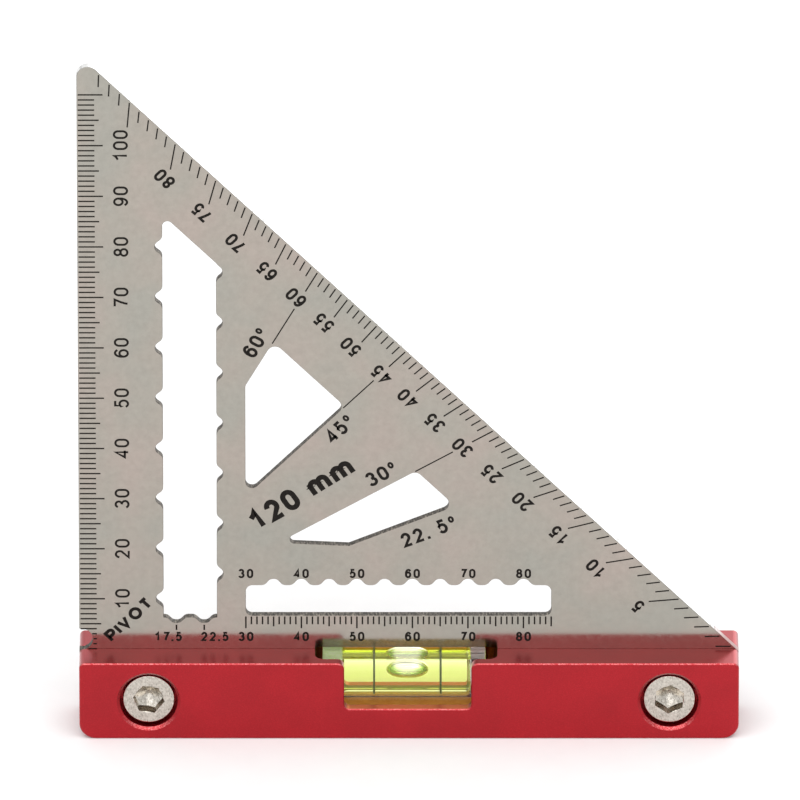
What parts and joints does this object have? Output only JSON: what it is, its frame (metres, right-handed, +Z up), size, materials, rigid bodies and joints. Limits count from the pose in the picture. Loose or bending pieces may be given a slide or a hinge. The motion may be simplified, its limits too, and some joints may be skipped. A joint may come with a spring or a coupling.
{
  "type": "rafter square",
  "caption": "Right-angled steel square with metric and angle scales, scribing slots and notches, clamped upright in a grooved bar that holds a bubble vial.",
  "frame": {"origin": "centre of the bar's underside, the face that the square stands on, midway along its length and thickness", "axes": "+Z up, square to the bar's underside, along the blade's upright edge; +X along the bar from the upright edge's end towards the angle scale's zero; +Y from the front (scale side) to the rear, square to the blade"},
  "size_m": [0.1188, 0.014, 0.1305],
  "materials": {
    "blade_steel": "satin stainless steel with a faint cloudy surface",
    "bar_red": "red anodised, fine satin",
    "screw_steel": "turned stainless steel",
    "vial_clear": "polished clear acrylic",
    "vial_plug": "translucent acrylic plug",
    "vial_ring": "matt black",
    "vial_liquid": "clear yellow-green liquid",
    "vial_air": "bubble of air in the liquid",
    "print_black": "matt etched marking"
  },
  "bodies": {
    "square": {"blade": "blade_steel", "base_bar": "bar_red", "clamp_screw_left": "screw_steel", "clamp_screw_right": "screw_steel", "vial_block": "vial_clear", "vial_end_plug": "vial_plug", "vial_rings": "vial_ring", "vial_liquid": "vial_liquid"},
    "bubble": {"vial_bubble": "vial_air"}
  },
  "joints": [
    {"name": "bubble_travel", "type": "slide", "parent": "square", "child": "bubble", "axis": [1, 0, 0], "range_m": [-0.007, 0.007]}
  ]
}
